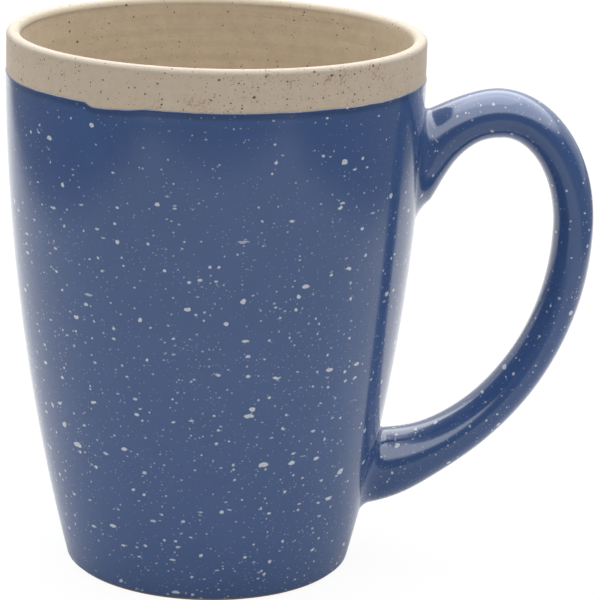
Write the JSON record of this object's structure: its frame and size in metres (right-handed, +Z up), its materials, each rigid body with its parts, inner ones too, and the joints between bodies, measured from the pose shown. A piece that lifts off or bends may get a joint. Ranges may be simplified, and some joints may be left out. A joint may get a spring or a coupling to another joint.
{
  "type": "stoneware mug",
  "caption": "Tall tapered stoneware mug with a round ear handle, a speckled blue glaze outside, and a cream glaze inside and round the lip.",
  "frame": {"origin": "on the cup's axis, at the plane of the foot ring that it stands on", "axes": "+Z up along the cup's axis, +X from the cup's axis towards the handle, +Y square to both by the right-hand rule, so seen from above with the handle to the right +Y is up the page"},
  "size_m": [0.1248, 0.0876, 0.115],
  "materials": {
    "stoneware_clay": "matte, fired, unglazed",
    "slip": "matte, fired",
    "cream_glaze": "satin, with iron specks",
    "blue_glaze": "gloss, with white speckles"
  },
  "bodies": {
    "root": {"cup_body": "stoneware_clay", "handle": "stoneware_clay", "upper_slip_joint": "slip", "lower_slip_joint": "slip", "cream_liner_glaze": "cream_glaze", "blue_body_glaze": "blue_glaze", "blue_handle_glaze": "blue_glaze", "base_glaze": "blue_glaze"}
  },
  "joints": []
}
